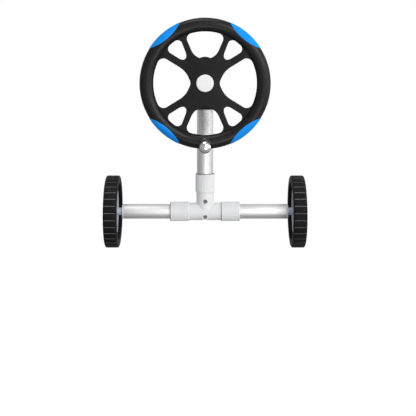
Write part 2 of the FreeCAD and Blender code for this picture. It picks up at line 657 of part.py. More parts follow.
def stand_nodes(prefix, foot_height, snout, crossbar_end):
    """The pieces both stands share, in the stand's own frame: ground at 0, reel at +Y."""
    left, right, top = collars()
    outer_bush, reel_bush = bushes(snout)
    nodes = {
        "housing": moved(housing(snout), z=AXIS_HEIGHT),
        "outer_bush": moved(outer_bush, z=AXIS_HEIGHT),
        "reel_bush": moved(reel_bush, z=AXIS_HEIGHT),
        "housing_screws": moved(housing_screws(), z=AXIS_HEIGHT),
        "upright": upright(foot_height),
        "tee": moved(tee(), z=foot_height),
        "tee_screws": moved(tee_screws(), z=foot_height),
        "left_collar": moved(left, z=foot_height),
        "right_collar": moved(right, z=foot_height),
        "top_collar": moved(top, z=foot_height),
        "left_crossbar": moved(crossbar(crossbar_end, -1), z=foot_height),
        "right_crossbar": moved(crossbar(crossbar_end, 1), z=foot_height),
    }
    return {prefix + name: shape for name, shape in nodes.items()}


def near_stand():
    height = ROAD_WHEEL_DIA / 2
    nodes = stand_nodes("near_", height, DRIVE_SNOUT, PLUG_OUTER_FACE - PLUG_HEAD)
    for name, side in (("left", -1), ("right", 1)):
        nodes["near_" + name + "_plug"] = moved(axle_plug(side), z=height)
        nodes["near_" + name + "_axle_bolt"] = moved(axle_bolt(side), z=height)
        nodes["near_" + name + "_washer"] = moved(washer(side), z=height)
        nodes[name + "_tyre"] = moved(tyre(), x=side * WHEEL_CENTRE, z=height)
        nodes[name + "_wheel_disc"] = moved(facing(wheel_disc(), side), x=side * WHEEL_CENTRE, z=height)
        nodes[name + "_wheel_bush"] = moved(facing(axle_bush(), side), x=side * WHEEL_CENTRE, z=height)
    return nodes


def far_stand():
    nodes = stand_nodes("far_", FOOT_AXIS_HEIGHT, FAR_SNOUT, FOOT_HALF_LENGTH - FOOT_CAP_END)
    nodes["far_end_cap"] = moved(end_cap(), z=AXIS_HEIGHT)
    nodes["far_left_foot"] = moved(foot_cap(-1), z=FOOT_AXIS_HEIGHT)
    nodes["far_right_foot"] = moved(foot_cap(1), z=FOOT_AXIS_HEIGHT)
    return nodes


def drive_reel():
    nodes = {
        "handwheel": handwheel(),
        "badge": badge(),
        "hub_bolt": hub_bolt(),
        "drive_shaft": drive_shaft(),
        "knob_spindle": knob_spindle(),
        "knob_nut": knob_nut(),
        "knob_sleeve": knob_sleeve(),
        "knob_cap": knob_cap(),
        "drive_plug": reel_plug(TUBE_DIA / 2),
        "outer_tube": reel_tube(TUBE_DIA / 2),
        "tube_collar": tube_collar(),
    }
    names = ("upper_right_grip", "upper_left_grip", "lower_left_grip", "lower_right_grip")
    for name, direction in zip(names, grip_directions()):
        nodes[name] = grip(direction)
    return nodes


def far_reel():
    radius = TUBE_DIA / 2 - TUBE_WALL - TELESCOPE_GAP
    return {"far_journal": far_journal(), "far_plug": reel_plug(radius), "inner_tube": reel_tube(radius)}


def write(nodes):
    for name, shape in nodes.items():
        shape.exportStep("parts/" + name + ".step")


os.makedirs("parts", exist_ok=True)
write({name: moved(shape, y=NEAR_Y) for name, shape in near_stand().items()})
write({name: moved(shape, y=NEAR_Y, z=AXIS_HEIGHT) for name, shape in drive_reel().items()})
write({name: moved(facing(shape, -1), y=FAR_Y) for name, shape in far_stand().items()})
write({name: moved(facing(shape, -1), y=FAR_Y, z=AXIS_HEIGHT) for name, shape in far_reel().items()})
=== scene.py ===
import json
import math

import bmesh
import bpy
from mathutils import Matrix, Vector


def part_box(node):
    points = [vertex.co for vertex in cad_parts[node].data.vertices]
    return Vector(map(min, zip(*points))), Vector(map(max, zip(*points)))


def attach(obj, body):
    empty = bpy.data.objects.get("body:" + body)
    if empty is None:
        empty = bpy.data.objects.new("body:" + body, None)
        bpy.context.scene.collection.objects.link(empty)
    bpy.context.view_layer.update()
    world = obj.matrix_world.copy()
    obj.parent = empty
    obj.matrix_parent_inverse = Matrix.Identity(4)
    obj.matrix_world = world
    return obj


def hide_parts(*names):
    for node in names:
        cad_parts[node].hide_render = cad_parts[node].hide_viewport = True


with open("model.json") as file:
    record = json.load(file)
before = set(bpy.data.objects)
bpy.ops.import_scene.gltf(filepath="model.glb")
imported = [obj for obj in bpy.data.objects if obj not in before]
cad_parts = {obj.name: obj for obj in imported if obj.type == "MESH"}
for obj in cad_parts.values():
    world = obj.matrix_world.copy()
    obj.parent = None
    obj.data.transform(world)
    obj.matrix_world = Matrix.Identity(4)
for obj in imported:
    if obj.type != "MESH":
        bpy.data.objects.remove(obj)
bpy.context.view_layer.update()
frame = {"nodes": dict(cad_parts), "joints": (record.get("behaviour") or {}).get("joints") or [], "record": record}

MM = 0.001
TURN = 2 * math.pi

JOINTS = {joint["name"]: joint for joint in frame["joints"]}
AXLE = Vector(JOINTS["reel_spin"]["pos_m"])
KNOB = Vector(JOINTS["knob_spin"]["pos_m"])
LEFT_HUB = Vector(JOINTS["left_wheel_spin"]["pos_m"])
RIGHT_HUB = Vector(JOINTS["right_wheel_spin"]["pos_m"])

# Middle of the handwheel, in the plane of its web's front, which the badge stands proud of
BADGE_PROUD = 1.0
WEB_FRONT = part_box("badge")[0].y + BADGE_PROUD * MM
WHEEL_CENTRE = Vector((AXLE.x, WEB_FRONT, AXLE.z))

# Handwheel moulding, in millimetres about its own axis
RIM_R = 175.0
RIM_WIDTH = 36.6
RIM_DEPTH = 27.0
RIM_INNER_R = RIM_R - RIM_WIDTH
RIM_MID_R = RIM_R - RIM_WIDTH / 2
WEB_THICKNESS = 6.0
WEB_ROUND = 1.4
WEB_INTO_RIM = 12.0
LIP_WALL = 3.0
LIP_DEPTH = 7.0
LIP_ROUND = 0.6
LIP_SUNK = 1.5
HUB_R = 30.0
BADGE_R = 24.5
GRIP_HALF_ANGLE = math.radians(18.5)
GRIP_THICKNESS = 21.0
GRIP_ANGLE = 49.8
GRIP_RISE = 0.7
GRIP_INSET = 1.1
GRIP_SUNK = 1.0
GRIP_END_ROLL = 0.08
GRIP_SIDE_ROLL = 0.16
SEAM_RISE = 0.15
# Gaps between the spokes: inner point, shoulder out and across, half angle at the rim,
# roundings of the inner point, shoulders and tips, direction
GAPS = [(37.3, 52.7, 33.0, 31.9, 20.0, 60.0, 17.0, angle) for angle in (0, 180)]
GAPS += [(62.0, 72.9, 29.9, 22.9, 20.0, 38.0, 15.0, angle) for angle in (90, 270)]
GAPS += [(79.0, 91.4, 10.4, 10.6, 9.0, 30.0, 13.0, angle) for angle in (50.5, 129.5, 230.5, 309.5)]

# Stands and reel, in millimetres
TUBE_WALL = 1.5
CROSSBAR_R = 20.5
UPRIGHT_R = 23.0
COLLAR_RIBS = 36

# Camera square to the handwheel, a little above its axle; the lens and shift frame it as the photo does
CAMERA_HEIGHT = 0.5076
CAMERA_DISTANCE = 2.395
CAMERA_LENS = 77.9
CAMERA_SHIFT = (0.007, -0.341)

# Studio that the pieces reflect: greys by height from below to above, and dimmer towards -X
ROOM_GREYS = ((0.0, 0.4), (0.3, 0.75), (0.5, 0.95), (0.7, 0.8), (1.0, 0.6))
ROOM_STRENGTH = 0.76
DIM_SIDE = 0.5


# ---------------------------------------------------------------- materials

def new_material(name, color, roughness, metallic=0.0, shine=0.5):
    material = bpy.data.materials.new(name)
    material.use_nodes = True
    shader = material.node_tree.nodes["Principled BSDF"]
    shader.inputs["Base Color"].default_value = (*color, 1.0)
    shader.inputs["Roughness"].default_value = roughness
    shader.inputs["Metallic"].default_value = metallic
    shader.inputs["Specular IOR Level"].default_value = shine
    return material


def noise(material, scale, detail=4.0, stretch=(1.0, 1.0, 1.0), distortion=0.0):
    """Noise texture in the piece's own coordinates, stretched along an axis if wanted."""
    tree = material.node_tree
    place = tree.nodes.new("ShaderNodeTexCoord")
    mapping = tree.nodes.new("ShaderNodeMapping")
    mapping.inputs["Scale"].default_value = stretch
    texture = tree.nodes.new("ShaderNodeTexNoise")
    texture.inputs["Scale"].default_value = scale
    texture.inputs["Detail"].default_value = detail
    texture.inputs["Distortion"].default_value = distortion
    tree.links.new(place.outputs["Object"], mapping.inputs["Vector"])
    tree.links.new(mapping.outputs["Vector"], texture.inputs["Vector"])
    return texture.outputs["Fac"]


def remap(material, value, low, high, start=0.3, end=0.7):
    node = material.node_tree.nodes.new("ShaderNodeMapRange")
    node.inputs["From Min"].default_value = start
    node.inputs["From Max"].default_value = end
    node.inputs["To Min"].default_value = low
    node.inputs["To Max"].default_value = high
    material.node_tree.links.new(value, node.inputs["Value"])
    return node.outputs["Result"]


def tint(material, value, dark, light, start=0.35, end=0.65):
    """Colour between two tones by a value, into the shader's base colour."""
    tree = material.node_tree
    ramp = tree.nodes.new("ShaderNodeValToRGB")
    ramp.color_ramp.elements[0].position = start
    ramp.color_ramp.elements[0].color = (*dark, 1.0)
    ramp.color_ramp.elements[1].position = end
    ramp.color_ramp.elements[1].color = (*light, 1.0)
    tree.links.new(value, ramp.inputs["Fac"])
    tree.links.new(ramp.outputs["Color"], tree.nodes["Principled BSDF"].inputs["Base Color"])


def rough(material, value, low, high):
    shader = material.node_tree.nodes["Principled BSDF"]
    material.node_tree.links.new(remap(material, value, low, high), shader.inputs["Roughness"])


def bump(material, heights, distance):
    """Bump from one or more heights, each with its strength, stacked."""
    tree = material.node_tree
    normal = None
    for value, strength in heights:
        node = tree.nodes.new("ShaderNodeBump")
        node.inputs["Strength"].default_value = strength
        node.inputs["Distance"].default_value = distance
        tree.links.new(value, node.inputs["Height"])
        if normal is not None:
            tree.links.new(normal, node.inputs["Normal"])
        normal = node.outputs["Normal"]
    tree.links.new(normal, tree.nodes["Principled BSDF"].inputs["Normal"])


def scaled(color, factor):
    return tuple(channel * factor for channel in color)


def moulded_plastic(name, color, roughness=0.42, spread=0.12, grain=0.12, scale=2200.0, shine=0.5):
    """Injection-moulded plastic: fine spark-eroded grain, slow tone drift, uneven gloss."""
    material = new_material(name, color, roughness, shine=shine)
    drift = noise(material, 14.0, 5.0)
    tint(material, drift, scaled(color, 1.0 - spread), scaled(color, 1.0 + spread))
    rough(material, noise(material, 60.0, 6.0), roughness - 0.06, roughness + 0.08)
    bump(material, [(noise(material, scale, 3.0), grain), (noise(material, 90.0, 2.0), 0.04)], 0.0004)
    return material


def drawn_aluminium(name, axis):
    """Satin anodised tube with fine die lines along its length."""
    color = (0.86, 0.86, 0.865)
    material = new_material(name, color, 0.5, 1.0)
    stretch = [1.0, 1.0, 1.0]
    stretch[axis] = 0.012
    lines = noise(material, 900.0, 4.0, stretch)
    tint(material, lines, scaled(color, 0.93), scaled(color, 1.05))
    rough(material, noise(material, 260.0, 6.0, stretch), 0.46, 0.58)
    bump(material, [(lines, 0.16), (noise(material, 35.0, 3.0), 0.03)], 0.0003)
    return material


def turned_steel(name, color=(0.56, 0.56, 0.57), roughness=0.32):
    material = new_material(name, color, roughness, 1.0)
    marks = noise(material, 700.0, 5.0, distortion=1.5)
    tint(material, marks, scaled(color, 0.85), scaled(color, 1.08))
    rough(material, noise(material, 160.0, 5.0), roughness - 0.08, roughness + 0.1)
    bump(material, [(marks, 0.12)], 0.0002)
    return material


def polished_chrome(name):
    color = (0.86, 0.86, 0.88)
    material = new_material(name, color, 0.06, 1.0)
    haze = noise(material, 120.0, 6.0)
    tint(material, haze, scaled(color, 0.96), scaled(color, 1.02))
    rough(material, haze, 0.03, 0.11)
    bump(material, [(noise(material, 900.0, 4.0), 0.02)], 0.0001)
    return material


def soft_rubber(name, color, roughness=0.55):
    """Soft-touch grip rubber with a fine stipple and rubbed, slightly shinier patches."""
    material = new_material(name, color, roughness, shine=0.2)
    tint(material, noise(material, 18.0, 4.0), scaled(color, 0.9), scaled(color, 1.08))
    rough(material, noise(material, 45.0, 6.0), roughness - 0.12, roughness + 0.08)
    stipple = noise(material, 1500.0, 2.0)
    bump(material, [(stipple, 0.22), (noise(material, 110.0, 2.0), 0.05)], 0.0004)
    return material


def tyre_rubber(name):
    """Hard black tyre: faint dust in random patches, uneven gloss."""
    color = (0.005, 0.005, 0.0052)
    material = new_material(name, color, 0.6, shine=0.12)
    dust = noise(material, 26.0, 8.0, distortion=0.8)
    tint(material, dust, color, (0.012, 0.012, 0.0125), 0.42, 0.8)
    rough(material, noise(material, 70.0, 5.0), 0.45, 0.68)
    bump(material, [(noise(material, 1300.0, 3.0), 0.25), (noise(material, 160.0, 3.0), 0.08)], 0.0005)
    return material


MATERIALS = {
    "wheel_black": moulded_plastic("wheel_black", (0.009, 0.009, 0.0095), 0.5, 0.2, 0.14, shine=0.16),
    "rim_black": moulded_plastic("rim_black", (0.007, 0.007, 0.0074), 0.32, 0.2, 0.1, shine=0.26),
    "grip_blue": soft_rubber("grip_blue", (0.0005, 0.25, 0.78), 0.6),
    "badge_white": moulded_plastic("badge_white", (0.78, 0.785, 0.79), 0.22, 0.02, 0.03),
    "badge_ring": moulded_plastic("badge_ring", (0.02, 0.02, 0.022), 0.25, 0.1, 0.03),
    "knob_grey": moulded_plastic("knob_grey", (0.03, 0.03, 0.033), 0.2, 0.1, 0.03),
    "knob_chrome": polished_chrome("knob_chrome"),
    "tube_x": drawn_aluminium("tube_x", 0),
    "tube_y": drawn_aluminium("tube_y", 1),
    "tube_z": drawn_aluminium("tube_z", 2),
    "fitting_white": moulded_plastic("fitting_white", (0.79, 0.795, 0.8), 0.42, 0.03, 0.1, shine=0.3),
    "housing_black": moulded_plastic("housing_black", (0.01, 0.01, 0.0105), 0.42, 0.2, 0.14, shine=0.25),
    "fastener_steel": turned_steel("fastener_steel"),
    "screw_steel": turned_steel("screw_steel", (0.22, 0.22, 0.23), 0.4),
    "bush_acetal": moulded_plastic("bush_acetal", (0.55, 0.55, 0.53), 0.4, 0.05, 0.06),
    "tyre_black": tyre_rubber("tyre_black"),
    # Light grey for the strips in the tyre grooves: painted highlight of the lugs' edges
    "painted_groove_highlight": moulded_plastic("painted_groove_highlight", (0.12, 0.12, 0.12), 0.8, 0.3, 0.2),
    "disc_grey": moulded_plastic("disc_grey", (0.47, 0.5, 0.58), 0.4, 0.12, 0.1),
    "foot_rubber": soft_rubber("foot_rubber", (0.03, 0.03, 0.032), 0.6),
}


# ---------------------------------------------------------------- mesh helpers

def to_world(origin, axis):
    """Matrix from local millimetres, whose Z is the piece's axis, to the frame's metres."""
    turns = {
        "x": Matrix(((0, 0, 1), (1, 0, 0), (0, 1, 0))),
        "-x": Matrix(((0, 0, -1), (-1, 0, 0), (0, 1, 0))),
        "y": Matrix(((1, 0, 0), (0, 0, 1), (0, 1, 0))),
        "-y": Matrix(((1, 0, 0), (0, 0, -1), (0, 1, 0))),
        "z": Matrix(((1, 0, 0), (0, 1, 0), (0, 0, 1))),
    }
    return Matrix.Translation(origin) @ (turns[axis] * MM).to_4x4()


def finished(name, mesh, material, smooth_angle=35.0):
    """Object from a mesh, with outward faces and smooth shading except over sharp edges."""
    work = bmesh.new()
    work.from_mesh(mesh)
    bmesh.ops.remove_doubles(work, verts=work.verts, dist=0.00001)
    bmesh.ops.recalc_face_normals(work, faces=work.faces)
    for face in work.faces:
        face.smooth = True
    for edge in work.edges:
        if len(edge.link_faces) == 2:
            edge.smooth = edge.calc_face_angle(0.0) < math.radians(smooth_angle)
    work.to_mesh(mesh)
    work.free()
    mesh.materials.clear()
    mesh.materials.append(MATERIALS[material])
    piece = bpy.data.objects.new(name, mesh)
    bpy.context.scene.collection.objects.link(piece)
    return piece


def lathe(profile, segments=96):
    """Vertices and faces of a closed profile of (along, radius) points turned about Z."""
    verts, faces = [], []
    count = len(profile)
    for step in range(segments):
        angle = TURN * step / segments
        for along, radius in profile:
            verts.append((radius * math.cos(angle), radius * math.sin(angle), along))
    for step in range(segments):
        here, there = step * count, (step + 1) % segments * count
        for index in range(count):
            after = (index + 1) % count
            faces.append((here + index, here + after, there + after, there + index))
    return verts, faces


def rounded(profile, radius, steps=3):
    """The profile with each corner cut back to a small arc; corners on the axis stay."""
    result = []
    count = len(profile)
    for index, corner in enumerate(profile):
        before, after = Vector(profile[index - 1]), Vector(profile[(index + 1) % count])
        point = Vector(corner)
        if point.y < 1e-6:
            result.append(tuple(point))
            continue
        back, ahead = before - point, after - point
        cut = min(radius, 0.45 * back.length, 0.45 * ahead.length)
        if cut < 1e-6:
            result.append(tuple(point))
            continue
        start, end = point + back.normalized() * cut, point + ahead.normalized() * cut
        for step in range(steps + 1):
            t = step / steps
            result.append(tuple(start * (1 - t) ** 2 + point * 2 * t * (1 - t) + end * t ** 2))
    return result


def mesh_of(parts, matrix):
    """One mesh from several (vertices, faces) parts, taken to the frame's metres."""
    verts, faces = [], []
    for part_verts, part_faces in parts:
        base = len(verts)
        verts += [matrix @ Vector(vert) for vert in part_verts]
        faces += [tuple(base + index for index in face) for face in part_faces]
    mesh = bpy.data.meshes.new("piece")
    mesh.from_pydata(verts, [], faces)
    mesh.validate()
    return mesh


def place(piece, body, nodes, slot):
    """Lets a piece ride a body and stand in for CAD nodes; its slot argument is not used."""
    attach(piece, body)
    if nodes:
        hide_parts(*nodes)
    return piece


BODY_OF = {node: body for body, nodes in frame["record"]["behaviour"]["bodies"].items() for node in nodes}
SLOT_OF = {part["node"]: part["material_slot"] for part in frame["record"]["subparts"]}


def turned(node, axis, centre, profile, material=None, corner=0.8, segments=96):
    """Replaces a CAD node by a finely turned piece about an axis through a centre."""
    mesh = mesh_of([lathe(rounded(profile, corner), segments)], to_world(centre, axis))
    piece = finished(node + "_turned", mesh, material or SLOT_OF[node])
    return place(piece, BODY_OF[node], [node], SLOT_OF[node])


def carved(node, axis, centre, parts):
    """Replaces a CAD node by parts modelled about an axis through a centre."""
    mesh = mesh_of(parts, to_world(centre, axis))
    piece = finished(node + "_moulded", mesh, SLOT_OF[node])
    return place(piece, BODY_OF[node], [node], SLOT_OF[node])


def trim(name, body, axis, centre, part, material, slot):
    """Small piece that scene.py adds to a body, with no CAD node of its own."""
    return place(finished(name, mesh_of([part], to_world(centre, axis)), material), body, [], slot)


def soften(piece, width):
    bevel = piece.modifiers.new("edge", "BEVEL")
    bevel.width = width
    bevel.segments = 2
    bevel.limit_method = "ANGLE"
    bevel.angle_limit = math.radians(40)


# ---------------------------------------------------------------- handwheel

def heading(angle):
    return Vector((math.cos(angle), math.sin(angle)))


def arc_points(centre, radius, start, end, steps=12):
    return [centre + heading(start + (end - start) * step / steps) * radius for step in range(steps + 1)]


def gap_outline(gap, grow=0.0):
    """Outline of a gap between spokes: rounded inner end, shoulders and tips, arc along the rim."""
    apex, out, across, half_angle, inner_round, shoulder_round, tip_round, direction = gap
    shoulder = Vector((out, across))
    tip = heading(math.radians(half_angle)) * RIM_INNER_R
    steep = math.atan2(across, out - apex)
    shallow = math.atan2(tip.y - across, tip.x - out)
    inward = heading(steep - math.pi / 2)
    run_in = shoulder_round * math.tan((steep - shallow) / 2)
    inner_centre = Vector((apex + inner_round / math.sin(steep), 0.0))
    shoulder_centre = shoulder - heading(steep) * run_in + inward * shoulder_round
    base = shoulder + heading(shallow - math.pi / 2) * tip_round
    half_b = base.dot(heading(shallow))
    reach = math.sqrt(half_b ** 2 - base.length_squared + (RIM_INNER_R - tip_round) ** 2) - half_b
    tip_centre = base + heading(shallow) * reach
    bearing = math.atan2(tip_centre.y, tip_centre.x)
    steep_normal = math.pi / 2 + steep
    shallow_normal = math.pi / 2 + shallow
    upper = arc_points(inner_centre, inner_round + grow, math.pi, steep_normal)
    upper += arc_points(shoulder_centre, shoulder_round + grow, steep_normal, shallow_normal)[1:]
    upper += arc_points(tip_centre, tip_round + grow, shallow_normal, bearing)[1:]
    upper += arc_points(Vector((0.0, 0.0)), RIM_INNER_R + grow, bearing, 0.0)[1:]
    outline = upper + [Vector((point.x, -point.y)) for point in reversed(upper[1:-1])]
    turn = Matrix.Rotation(math.radians(direction), 2)
    return [tuple(turn @ point) for point in outline]


def circle_outline(radius, count=160):
    angles = [TURN * i / count for i in range(count)]
    return [(radius * math.cos(angle), radius * math.sin(angle)) for angle in angles]


def plate(outlines, low, high, edge_round):
    """Flat plate with holes and rounded edges, from closed outlines, as (vertices, faces)."""
    curve = bpy.data.curves.new("plate", "CURVE")
    curve.dimensions = "2D"
    curve.fill_mode = "BOTH"
    curve.extrude = (high - low) / 2 - edge_round
    curve.bevel_depth = edge_round
    curve.offset = -edge_round
    curve.bevel_resolution = 3
    for outline in outlines:
        spline = curve.splines.new("POLY")
        spline.points.add(len(outline) - 1)
        for point, (x, y) in zip(spline.points, outline):
            point.co = (x, y, 0.0, 1.0)
        spline.use_cyclic_u = True
    holder = bpy.data.objects.new("plate", curve)
    mesh = bpy.data.meshes.new_from_object(holder)
    middle = (high + low) / 2
    verts = [(vert.co.x, vert.co.y, vert.co.z + middle) for vert in mesh.vertices]
    faces = [tuple(face.vertices) for face in mesh.polygons]
    bpy.data.objects.remove(holder)
    bpy.data.meshes.remove(mesh)
    return verts, faces


def rim_profile(steps=48):
    """Oval section of the rim, about the middle of the web's thickness."""
    angles = [TURN * i / steps for i in range(steps)]
    return [(RIM_DEPTH / 2 * math.sin(angle) + WEB_THICKNESS / 2,
             RIM_MID_R + RIM_WIDTH / 2 * math.cos(angle)) for angle in angles]


def grip_inner_radius(angle):
    """Distance of a grip's inward-bulging edge from the wheel's centre, at an angle from its middle."""
    corner = Vector((RIM_R * math.cos(GRIP_HALF_ANGLE), RIM_R * math.sin(GRIP_HALF_ANGLE)))
    inner = RIM_R - GRIP_THICKNESS
    gap = corner.x - inner
    centre = inner + (gap ** 2 + corner.y ** 2) / (2 * gap)
    radius = centre - inner
    half_b = centre * math.cos(angle)
    return half_b - math.sqrt(max(half_b ** 2 - centre ** 2 + radius ** 2, 0.0))


def grip_patch(direction, grow, inset, columns=56, rows=20):
    """Lens-shaped pad wrapped over the rim's outer side, with its edge rolled down."""
    spread = GRIP_HALF_ANGLE - inset / RIM_R
    outer, inner = [], []
    for column in range(columns + 1):
        angle = -spread + 2 * spread * column / columns
        edge = max(-1.0, min(1.0, (grip_inner_radius(angle) + inset - RIM_MID_R) / (RIM_WIDTH / 2)))
        reach = math.acos(edge)
        end_fade = min(1.0, (1.0 - abs(angle) / spread) / GRIP_END_ROLL)
        for row in range(rows + 1):
            share = -1 + 2 * row / rows
            side_fade = min(1.0, (1.0 - abs(share)) / GRIP_SIDE_ROLL)
            lift = grow * math.sqrt(max(0.0, 1 - (1 - min(end_fade, side_fade)) ** 2))
            section = share * reach
            turn = math.radians(direction) + angle
            for layer, height in ((outer, lift), (inner, -GRIP_SUNK)):
                radius = RIM_MID_R + (RIM_WIDTH / 2 + height) * math.cos(section)
                along = (RIM_DEPTH / 2 + height) * math.sin(section)
                layer.append((radius * math.cos(turn), radius * math.sin(turn), along))
    count = rows + 1
    base = len(outer)
    faces = []
    for column in range(columns):
        for row in range(rows):
            a = column * count + row
            quad = (a, a + 1, a + count + 1, a + count)
            faces.append(quad)
            faces.append(tuple(base + index for index in reversed(quad)))
    for column in range(columns):
        for row in (0, rows):
            a = column * count + row
            faces.append((a, a + count, base + a + count, base + a))
    for row in range(rows):
        for column in (0, columns):
            a = column * count + row
            faces.append((a, a + 1, base + a + 1, base + a))
    return outer + inner, faces


def moved_part(part, y=0.0, z=0.0):
    verts, faces = part
    return [(vx, vy + y, vz + z) for vx, vy, vz in verts], faces


def build_handwheel():
    """Local Z runs towards the reel, so the wheel's front faces -Z; the web's front is 0."""
    hub_back = (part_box("handwheel")[1].y - WEB_FRONT) / MM
    web_outlines = [circle_outline(RIM_INNER_R + WEB_INTO_RIM)] + [gap_outline(gap) for gap in GAPS]
    parts = [plate(web_outlines, 0.0, WEB_THICKNESS, WEB_ROUND)]
    for gap in GAPS:
        lip_outlines = [gap_outline(gap, LIP_WALL), gap_outline(gap)]
        parts.append(plate(lip_outlines, WEB_THICKNESS - LIP_SUNK, WEB_THICKNESS + LIP_DEPTH, LIP_ROUND))
    hub = [(1.0, 0.0), (1.0, HUB_R), (hub_back, HUB_R - 2), (hub_back, 12.5), (hub_back - 20, 12.5)]
    hub.append((hub_back - 20, 0.0))
    parts.append(lathe(rounded(hub, 1.5), 96))
    ring = [(1.5, BADGE_R + 0.2), (-1.0, BADGE_R + 0.2), (-1.0, BADGE_R + 2.2), (1.5, BADGE_R + 4.0)]
    parts.append(lathe(rounded(ring, 0.6), 128))
    boss = [(-11.6, 5.0), (-11.6, 13.6), (17.3, 13.6), (17.3, 5.0)]
    parts.append(moved_part(lathe(rounded(boss, 1.0), 64), y=(KNOB.z - AXLE.z) / MM))
    carved("handwheel", "y", WHEEL_CENTRE, parts)
    rim = lathe(rim_profile(), 240)
    trim("handwheel_rim", BODY_OF["handwheel"], "y", WHEEL_CENTRE, rim, "rim_black", "wheel_black")


def build_grips():
    """Blue pads at the rim's four corners, each over a slightly wider dark seam."""
    names = ("upper_right_grip", "upper_left_grip", "lower_left_grip", "lower_right_grip")
    angles = (GRIP_ANGLE, 180 - GRIP_ANGLE, 180 + GRIP_ANGLE, -GRIP_ANGLE)
    for node, angle in zip(names, angles):
        pad = moved_part(grip_patch(angle, GRIP_RISE, GRIP_INSET), z=WEB_THICKNESS / 2)
        carved(node, "y", WHEEL_CENTRE, [pad])
        seam = moved_part(grip_patch(angle, SEAM_RISE, 0.0), z=WEB_THICKNESS / 2)
        trim(node + "_seam", BODY_OF[node], "y", WHEEL_CENTRE, seam, "housing_black", "wheel_black")


def build_badge():
    """Plain white disc with a rolled edge, in a thin dark ring."""
    low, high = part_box("badge")
    centre = Vector((AXLE.x, low.y, AXLE.z))
    thick = (high.y - low.y) / MM
    face = [(0.25, 0.0), (0.0, 8.0), (0.0, BADGE_R - 3.0), (0.9, BADGE_R - 1.2)]
    face += [(thick, BADGE_R - 0.8), (thick, 0.0)]
    turned("badge", "y", centre, face, corner=0.6, segments=128)
    ring = [(0.4, BADGE_R - 1.1), (0.1, BADGE_R - 0.6), (0.1, BADGE_R)]
    ring += [(thick, BADGE_R), (thick, BADGE_R - 1.1)]
    edge = lathe(rounded(ring, 0.2), 128)
    trim("badge_edge", BODY_OF["badge"], "y", centre, edge, "badge_ring", "wheel_black")


def build_knob_sleeve():
    """Grip that spins on the spindle: bezel round the cap, waisted stem with two beads, foot."""
    low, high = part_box("knob_sleeve")
    centre = Vector((KNOB.x, low.y, KNOB.z))
    length = (high.y - low.y) / MM
    stem = 11.0
    foot = 15.0
    bore = 5.1
    cap_bore = 9.0
    cap_bore_depth = 11.0
    profile = [(0.0, cap_bore), (0.0, 13.9), (-2.4, 13.9), (-2.4, 15.4), (3.0, 15.2)]
    profile += [(11.0, 12.7), (20.0, 11.6), (32.0, stem)]
    for bead in (length - 23.0, length - 15.0):
        profile += [(bead - 1.6, stem), (bead, stem + 1.0), (bead + 1.6, stem)]
    profile += [(length - 7.0, stem), (length - 5.0, stem + 1.6), (length - 3.0, foot), (length, foot)]
    profile += [(length, bore), (cap_bore_depth, bore), (cap_bore_depth, cap_bore)]
    turned("knob_sleeve", "y", centre, profile, corner=0.7)


def build_knob_cap():
    """Chromed dome that closes the sleeve's outer end, inside its bezel."""
    low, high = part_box("knob_cap")
    centre = Vector((KNOB.x, low.y, KNOB.z))
    bezel = 1.7
    plug_depth = 1.6
    steps = 14
    edge = (high.x - low.x) / 2 / MM - bezel
    seat = (high.y - low.y) / MM - plug_depth
    rise = seat - 3.2
    sphere = (edge ** 2 + rise ** 2) / (2 * rise)
    dome = []
    for step in range(steps + 1):
        angle = math.asin(edge / sphere) * step / steps
        dome.append((sphere * (1 - math.cos(angle)), sphere * math.sin(angle)))
    plug = 8.9
    dome += [(seat - 0.6, edge), (seat, edge - 0.6), (seat, plug), (seat + plug_depth, plug)]
    dome += [(seat + plug_depth, 0.0)]
    mesh = mesh_of([lathe(dome, 96)], to_world(centre, "y"))
    place(finished("knob_cap_turned", mesh, "knob_chrome"), BODY_OF["knob_cap"], ["knob_cap"], "knob_chrome")


# ---------------------------------------------------------------- wheels

LUGS = 32
TYRE_HALF = 18.5
TYRE_R = 100.0
LUG_GAP = 2.6
LUG_DEPTH = 4.5
# How far below the tread the painted highlight strips in the grooves stop
PAINTED_HIGHLIGHT_DROP = 0.8
DISC_R = 80.0
DISC_RIBS = 8


def tyre_part():
    """Tyre grid: the tread profile turned, dropping into a groove between each pair of lugs."""
    profile = [(-TYRE_HALF + 1.0, DISC_R), (-TYRE_HALF, DISC_R + 1.5), (-TYRE_HALF, 86.0)]
    profile += [(-TYRE_HALF + 0.5, 88.0), (-TYRE_HALF, 90.0), (-TYRE_HALF, 96.4), (-TYRE_HALF + 0.4, 97.6)]
    profile += [(-TYRE_HALF + 2.2, 99.5), (-TYRE_HALF + 3.2, TYRE_R), (-6.0, TYRE_R)]
    profile += [(-along, radius) for along, radius in reversed(profile)]
    pitch = TURN / LUGS
    half_gap = LUG_GAP / 2 / TYRE_R
    soft = 0.7 / TYRE_R
    # Angles round one lug and its groove, each with how far the tread is sunk there
    stations = []
    for lug in range(LUGS):
        start = lug * pitch + math.pi / 2 - pitch / 2
        for offset, depth in ((-half_gap * 0.8, 1.0), (half_gap * 0.8, 1.0), (half_gap, 0.12),
                              (half_gap + soft, 0.0), (pitch * 0.35, 0.0), (pitch * 0.65, 0.0),
                              (pitch - half_gap - soft, 0.0), (pitch - half_gap, 0.12)):
            stations.append((start + offset, depth))
    verts, faces = [], []
    count = len(profile)
    floor = TYRE_R - LUG_DEPTH
    groove_start = 90.0
    for angle, depth in stations:
        for along, radius in profile:
            share = max(0.0, min(1.0, (radius - groove_start) / 5.0))
            sunk = radius - depth * share * max(radius - floor, 0.0)
            side = along
            if groove_start <= radius < floor + 1.0:
                side = along * (1 - 0.06 * depth)
            verts.append((sunk * math.cos(angle), sunk * math.sin(angle), side))
    total = len(stations)
    for step in range(total):
        here, there = step * count, (step + 1) % total * count
        for index in range(count):
            after = (index + 1) % count
            faces.append((here + index, here + after, there + after, there + index))
    return verts, faces


